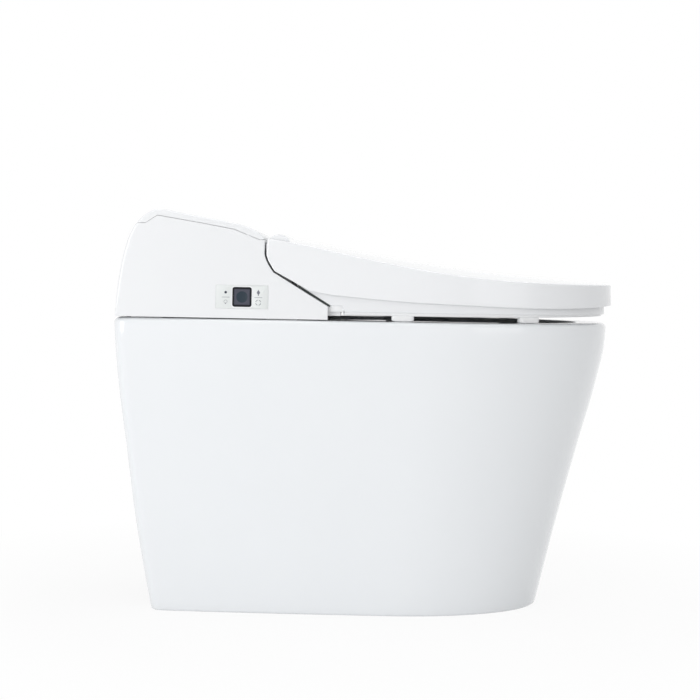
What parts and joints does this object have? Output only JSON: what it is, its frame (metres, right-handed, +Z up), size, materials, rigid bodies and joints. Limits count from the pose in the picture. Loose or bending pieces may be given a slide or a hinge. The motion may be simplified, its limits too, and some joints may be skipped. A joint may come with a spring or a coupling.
{
  "type": "smart toilet with heated seat",
  "caption": "Floor-standing skirted ceramic toilet with a rear wash unit, hinged heated seat and domed lid, side button, wash nozzles and warm-air outlet.",
  "frame": {"origin": "centre of the outline's bounding box, on the floor", "axes": "+X towards the front of the toilet, +Y towards the side without the button (a seated person's left), +Z up"},
  "size_m": [0.6847, 0.38, 0.5435],
  "materials": {
    "ceramic": "glazed",
    "white_shell": "glossy moulded",
    "grey_plate": "satin",
    "dark_button": "glossy",
    "rubber": "soft",
    "grey_plastic": "moulded",
    "black_plastic": "moulded",
    "steel": "brushed",
    "brass": "machined",
    "film": "foil",
    "board": "laminate",
    "lens": "frosted",
    "hose": "soft",
    "carbon": "pressed"
  },
  "bodies": {
    "toilet": {"ceramic_skirt": "ceramic", "ceramic_rim": "ceramic", "ceramic_bowl": "ceramic", "trapway": "ceramic", "outlet_seal": "rubber", "floor_adapter": "grey_plastic", "closet_bolts": "steel", "rim_pipe": "grey_plastic", "flush_valve": "grey_plastic", "water_inlet": "brass", "inlet_strainer": "grey_plastic", "wash_valve": "grey_plastic", "instant_heater": "grey_plastic", "water_hoses": "hose", "base_plate": "grey_plastic", "deck_gaskets": "rubber", "deck_bolts": "steel", "main_housing": "white_shell", "top_cover": "white_shell", "housing_screws": "steel", "front_rail": "white_shell", "power_gland": "black_plastic", "control_plate": "grey_plate", "control_board": "board", "power_supply": "black_plastic", "nozzle_guide": "grey_plastic", "nozzle_motors": "black_plastic", "blower_case": "black_plastic", "blower_motor": "steel", "warm_air_duct": "grey_plastic", "night_light": "lens", "deodoriser_case": "grey_plastic", "carbon_filter": "carbon", "hinge_blocks": "white_shell", "lid_damper": "black_plastic", "seat_damper": "black_plastic", "hinge_shafts": "steel"},
    "seat": {"seat_upper_shell": "white_shell", "seat_tray": "white_shell", "seat_heater": "film", "seat_sensor": "black_plastic", "seat_bumpers": "rubber"},
    "lid": {"lid_shell": "white_shell", "lid_inner_panel": "white_shell", "lid_bumpers": "rubber"},
    "rear_nozzle": {"rear_nozzle": "white_shell", "rear_nozzle_tip": "white_shell"},
    "front_nozzle": {"front_nozzle": "white_shell", "front_nozzle_tip": "white_shell"},
    "side_button": {"side_button": "dark_button"},
    "blower_wheel": {"blower_wheel": "black_plastic"},
    "deodoriser_fan": {"deodoriser_fan": "black_plastic"},
    "warm_air_flap": {"warm_air_flap": "white_shell"}
  },
  "joints": [
    {"name": "seat_hinge", "type": "hinge", "parent": "toilet", "child": "seat", "pos_m": [-0.125, 0, 0.497], "axis": [0, -1, 0], "range_deg": [0, 88]},
    {"name": "lid_hinge", "type": "hinge", "parent": "seat", "child": "lid", "pos_m": [-0.125, 0, 0.497], "axis": [0, 1, 0], "range_deg": [-98, 0]},
    {"name": "rear_nozzle_slide", "type": "slide", "parent": "toilet", "child": "rear_nozzle", "axis": [0.8572, 0, -0.515], "range_m": [0, 0.09]},
    {"name": "front_nozzle_slide", "type": "slide", "parent": "toilet", "child": "front_nozzle", "axis": [0.8572, 0, -0.515], "range_m": [0, 0.105]},
    {"name": "side_button_press", "type": "slide", "parent": "toilet", "child": "side_button", "axis": [0, 1, 0], "range_m": [0, 0.0015], "stiffness_N_per_m": 900, "springref_m": -0.001},
    {"name": "blower_spin", "type": "hinge", "parent": "toilet", "child": "blower_wheel", "pos_m": [-0.22391, 0.063, 0.46982], "axis": [0, 1, 0], "continuous": true},
    {"name": "deodoriser_spin", "type": "hinge", "parent": "toilet", "child": "deodoriser_fan", "pos_m": [-0.29, -0.13, 0.441], "axis": [0, 0, 1], "continuous": true},
    {"name": "warm_air_flap_hinge", "type": "hinge", "parent": "toilet", "child": "warm_air_flap", "pos_m": [-0.07628, 0.063, 0.41845], "axis": [0, -1, 0], "range_deg": [0, 60]}
  ]
}
